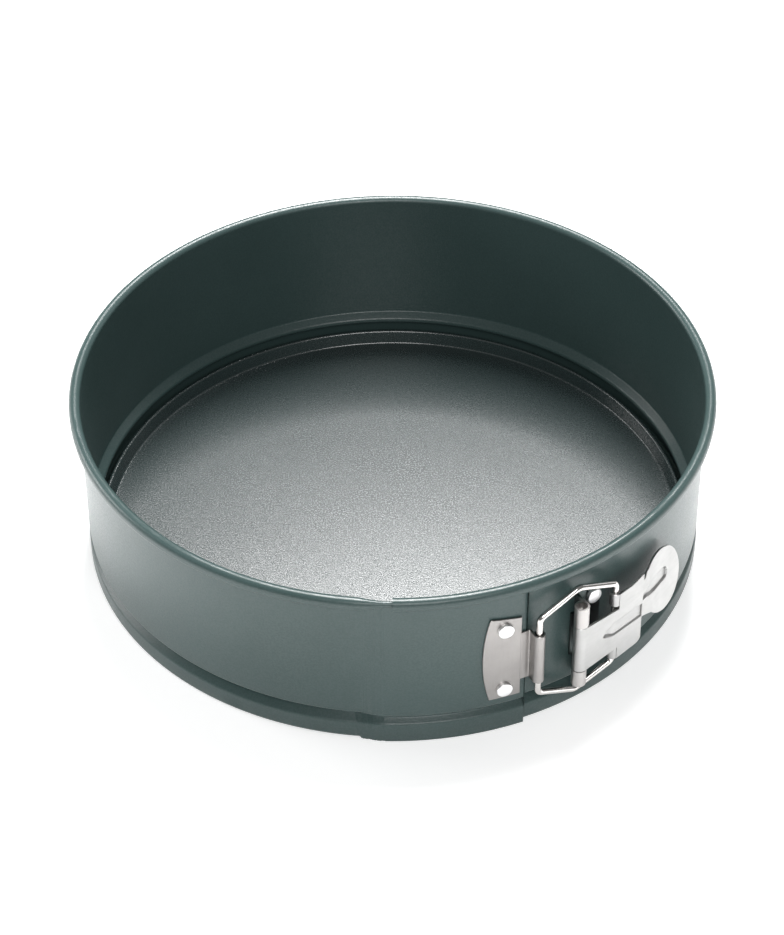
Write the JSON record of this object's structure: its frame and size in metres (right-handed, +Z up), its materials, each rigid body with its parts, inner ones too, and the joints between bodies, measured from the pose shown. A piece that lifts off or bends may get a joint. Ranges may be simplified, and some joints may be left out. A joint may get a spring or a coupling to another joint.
{
  "type": "springform cake pan",
  "caption": "Round springform cake pan: dark coated ring with a rolled rim and a bright toggle clasp round a loose base.",
  "frame": {"origin": "on the pan's axis, in the plane of its underside", "axes": "+Z up along the pan's axis; -Y towards the front of the pictured view; the clasp is at the front, on the +X side"},
  "size_m": [0.2592, 0.2592, 0.075],
  "materials": {
    "coated_steel": "dark slate non-stick coating, satin",
    "bright_steel": "bright nickel-plated steel"
  },
  "bodies": {
    "band_back": {"band_back": "coated_steel"},
    "band_left": {"band_left": "coated_steel", "catch_plate": "bright_steel", "catch_rivet_upper": "bright_steel", "catch_rivet_lower": "bright_steel"},
    "band_right": {"band_right": "coated_steel", "lever_bracket": "bright_steel", "bracket_rivet_upper": "bright_steel", "bracket_rivet_lower": "bright_steel", "hinge_pin": "bright_steel"},
    "lever": {"lever": "bright_steel"},
    "bail": {"bail": "bright_steel"},
    "base": {"base_plate": "coated_steel"}
  },
  "joints": [
    {"name": "left_flex", "type": "hinge", "parent": "band_back", "child": "band_left", "pos_m": [-0.12889, -0.01355, 0.0375], "axis": [0, 0, -1], "range_deg": [0, 6.22]},
    {"name": "right_flex", "type": "hinge", "parent": "band_back", "child": "band_right", "pos_m": [0.12889, 0.01355, 0.0375], "axis": [0, 0, 1], "range_deg": [0, 6.22]},
    {"name": "lever_swing", "type": "hinge", "parent": "band_right", "child": "lever", "pos_m": [0.07074, -0.11298, 0.0376], "axis": [0, 0, -1], "range_deg": [0, 165]},
    {"name": "bail_swing", "type": "hinge", "parent": "lever", "child": "bail", "pos_m": [0.08416, -0.10065, 0.0376], "axis": [0, 0, 1], "range_deg": [0, 132.47]},
    {"name": "base_lift", "type": "slide", "parent": "band_back", "child": "base", "axis": [0, 0, 1], "range_m": [0, 0.09]}
  ],
  "couplings": [
    {"joint": "bail_swing", "follows": "lever_swing", "ratio": 0.80257},
    {"joint": "left_flex", "follows": "lever_swing", "ratio": 0.037659},
    {"joint": "right_flex", "follows": "lever_swing", "ratio": 0.037659}
  ]
}
